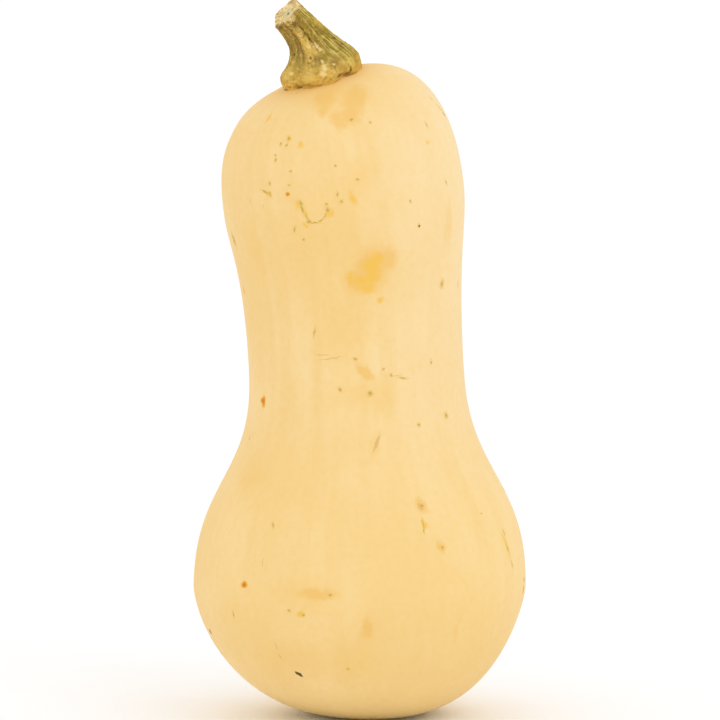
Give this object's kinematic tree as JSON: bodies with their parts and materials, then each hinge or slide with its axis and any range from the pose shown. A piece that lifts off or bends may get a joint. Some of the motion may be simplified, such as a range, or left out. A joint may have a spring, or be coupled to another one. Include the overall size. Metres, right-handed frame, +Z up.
{
  "type": "butternut squash",
  "caption": "Whole butternut squash standing on its blossom end: round bulb, long thick neck that leans a little to one side, and a short ribbed woody stalk cut off at its end.",
  "frame": {"origin": "on the surface that the squash stands on, under the middle of its bulb", "axes": "+Z up along the squash's height to the stalk; -Y towards the viewer of the picture; +X to that viewer's right, away from the side that the neck leans to"},
  "size_m": [0.1153, 0.11, 0.2468],
  "materials": {
    "rind": null,
    "stalk": "dry, rough, corky olive and tan stalk, pale at the cut"
  },
  "bodies": {
    "root": {"fruit": "rind", "stalk": "stalk"}
  },
  "joints": []
}
